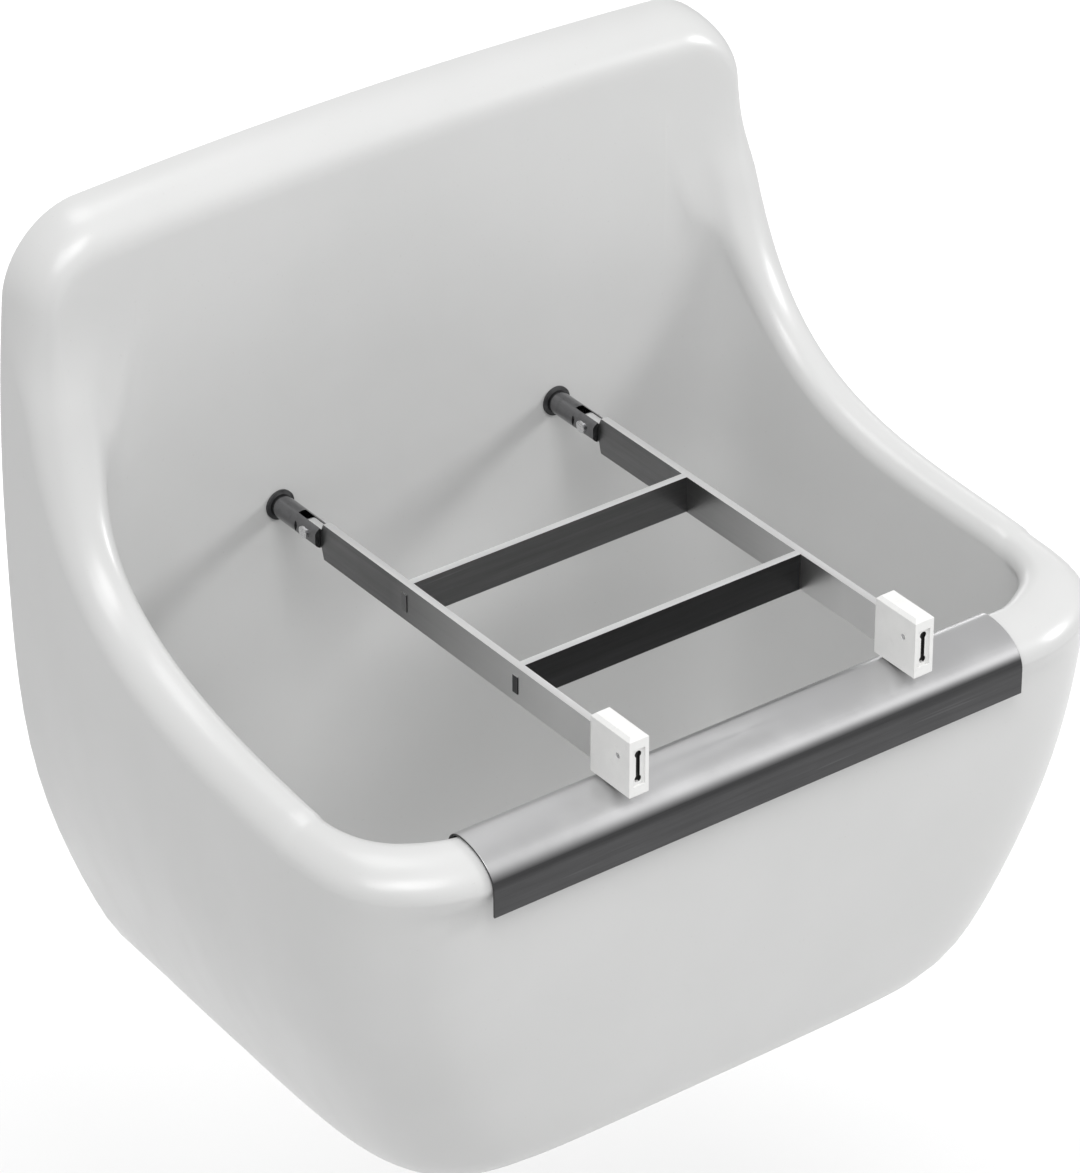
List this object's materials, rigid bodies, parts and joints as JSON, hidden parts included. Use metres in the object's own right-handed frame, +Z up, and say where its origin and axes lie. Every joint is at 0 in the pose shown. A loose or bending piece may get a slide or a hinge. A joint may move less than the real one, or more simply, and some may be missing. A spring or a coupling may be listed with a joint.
{
  "type": "mop service sink",
  "caption": "Wall-hung ceramic mop sink with a high splashback, a steel guard on its front rim and a hinged bucket grating.",
  "frame": {"origin": "on the wall plane, in the middle of the basin's width, level with the top of the edge guard", "axes": "+X to the right seen from the front, -Y out of the wall toward the user, +Z up"},
  "size_m": [0.567, 0.4045, 0.6155],
  "materials": {
    "glazed_ceramic": "glossy white glaze",
    "stainless_sheet": "satin, brushed along its length",
    "stainless_bar": "satin",
    "chromed_stud": "polished",
    "chromed_waste": "polished",
    "steel_fastener": "plain",
    "white_plastic": "smooth, slightly matt",
    "dark_plastic": "matt",
    "silicone": "soft, translucent white",
    "black_rubber": "matt"
  },
  "bodies": {
    "sink": {"basin": "glazed_ceramic", "edge_guard": "stainless_sheet", "guard_strips": "silicone", "wall_bushes": "dark_plastic", "hinge_stud_left": "chromed_stud", "hinge_stud_right": "chromed_stud", "hinge_pin_left": "steel_fastener", "hinge_pin_right": "steel_fastener", "stud_rosettes": "black_rubber", "stud_back_rubbers": "black_rubber", "stud_back_washers": "steel_fastener", "stud_nuts": "steel_fastener", "waste_body": "chromed_waste", "waste_strainer": "chromed_waste", "strainer_screw": "steel_fastener", "waste_gasket_top": "black_rubber", "waste_gasket_bottom": "black_rubber", "waste_back_nut": "chromed_waste"},
    "grating": {"side_bar_left": "stainless_bar", "side_bar_right": "stainless_bar", "cross_bar_rear": "stainless_bar", "cross_bar_front": "stainless_bar", "buffer_left": "white_plastic", "buffer_right": "white_plastic", "buffer_pins": "steel_fastener"}
  },
  "joints": [
    {"name": "grating_fold", "type": "hinge", "parent": "sink", "child": "grating", "pos_m": [0.006, -0.074, 0.02], "axis": [-1, 0, 0], "range_deg": [0, 95]}
  ]
}
